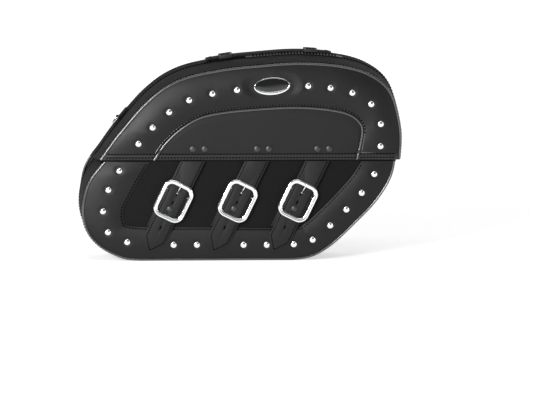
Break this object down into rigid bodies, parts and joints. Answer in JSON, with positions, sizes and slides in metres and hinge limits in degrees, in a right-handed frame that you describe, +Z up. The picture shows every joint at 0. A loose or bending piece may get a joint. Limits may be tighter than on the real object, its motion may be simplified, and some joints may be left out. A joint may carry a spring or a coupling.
{
  "type": "motorcycle saddlebag",
  "caption": "Slanted leather motorcycle saddlebag: stiff box with a hinged lid, studded edge, buckled closing straps and a carry handle.",
  "frame": {"origin": "middle of the bolt pattern, on the flat back face that goes against the motorcycle", "axes": "+X to the front of the motorcycle, along the bag's length; +Y out of the back face, towards the motorcycle; +Z up"},
  "size_m": [0.6183, 0.1674, 0.3976],
  "materials": {
    "leather": "black, fine-grained, semi-gloss",
    "piping": "black, smooth, glossy cord",
    "plastic_board": "black polypropylene board, matte",
    "foam": "dark foam sheet",
    "webbing": "black woven webbing",
    "moulded_plastic": "black moulded plastic",
    "chrome": "polished chrome plate",
    "black_metal": "black, domed, satin",
    "zinc_steel": "zinc plated",
    "black_enamel": "black enamel, glossy"
  },
  "bodies": {
    "bag": {"back_board": "plastic_board", "back_cover": "leather", "back_welt": "piping", "base_board": "plastic_board", "front_board": "plastic_board", "front_border": "leather", "front_panel": "leather", "front_welt": "piping", "gusset": "leather", "handle_rivet_1": "black_metal", "handle_rivet_2": "black_metal", "handle_webbing": "webbing", "hinge_leather_rear": "leather", "mount_insert_1": "zinc_steel", "mount_insert_2": "zinc_steel", "mount_insert_3": "zinc_steel", "mount_insert_4": "zinc_steel", "rear_hoop": "leather", "ring_tab": "webbing", "snap_stud_1": "black_metal", "snap_stud_2": "black_metal", "snap_stud_3": "black_metal", "snap_tab_1": "leather", "snap_tab_2": "leather", "snap_tab_3": "leather"},
    "lid": {"arch_welt": "piping", "badge_inlay": "black_enamel", "badge_plate": "chrome", "hinge_leather_lid": "leather", "lid_band": "leather", "lid_board": "plastic_board", "lid_border": "leather", "lid_foam": "foam", "lid_hem": "leather", "lid_panel": "leather", "lid_welt": "piping", "strap_rivet_1": "black_metal", "strap_rivet_2": "black_metal", "strap_rivet_3": "black_metal", "strap_rivet_4": "black_metal", "strap_rivet_5": "black_metal", "strap_rivet_6": "black_metal", "strap_root_1": "leather", "strap_root_2": "leather", "strap_root_3": "leather"},
    "strap_1": {"strap_1": "leather", "snap_cap_1": "black_metal", "buckle_1": "chrome"},
    "prong_1": {"prong_1": "chrome"},
    "strap_2": {"strap_2": "leather", "snap_cap_2": "black_metal", "buckle_2": "chrome"},
    "prong_2": {"prong_2": "chrome"},
    "strap_3": {"strap_3": "leather", "snap_cap_3": "black_metal", "buckle_3": "chrome"},
    "prong_3": {"prong_3": "chrome"},
    "slider_1": {"handle_slider_1": "moulded_plastic"},
    "slider_2": {"handle_slider_2": "moulded_plastic"},
    "d_ring": {"d_ring": "chrome"}
  },
  "joints": [
    {"name": "lid_hinge", "type": "hinge", "parent": "bag", "child": "lid", "pos_m": [0, -0.04875, 0.18706], "axis": [-1, 0, 0], "range_deg": [0, 105]},
    {"name": "strap_1_swing", "type": "hinge", "parent": "lid", "child": "strap_1", "pos_m": [-0.08702, -0.1591, -0.01195], "axis": [-1, 0, 0], "range_deg": [0, 75]},
    {"name": "strap_2_swing", "type": "hinge", "parent": "lid", "child": "strap_2", "pos_m": [0.03293, -0.1591, -0.01195], "axis": [-1, 0, 0], "range_deg": [0, 75]},
    {"name": "strap_3_swing", "type": "hinge", "parent": "lid", "child": "strap_3", "pos_m": [0.14582, -0.1591, -0.01195], "axis": [-1, 0, 0], "range_deg": [0, 75]},
    {"name": "prong_1_swing", "type": "hinge", "parent": "strap_1", "child": "prong_1", "pos_m": [-0.11675, -0.1548, -0.07289], "axis": [0.8988, 0, -0.4384], "range_deg": [0, 60]},
    {"name": "prong_2_swing", "type": "hinge", "parent": "strap_2", "child": "prong_2", "pos_m": [0.00321, -0.1548, -0.07289], "axis": [0.8988, 0, -0.4384], "range_deg": [0, 60]},
    {"name": "prong_3_swing", "type": "hinge", "parent": "strap_3", "child": "prong_3", "pos_m": [0.1161, -0.1548, -0.07289], "axis": [0.8988, 0, -0.4384], "range_deg": [0, 60]},
    {"name": "slider_1_slide", "type": "slide", "parent": "bag", "child": "slider_1", "axis": [0.9893, 0, 0.1456], "range_m": [-0.01, 0.01]},
    {"name": "slider_2_slide", "type": "slide", "parent": "bag", "child": "slider_2", "axis": [0.9978, 0, -0.0667], "range_m": [-0.01, 0.01]},
    {"name": "d_ring_swing", "type": "hinge", "parent": "bag", "child": "d_ring", "pos_m": [-0.22857, -0.02493, 0.06445], "axis": [-0.0847, 0.994, 0.0692], "range_deg": [0, 150]}
  ]
}
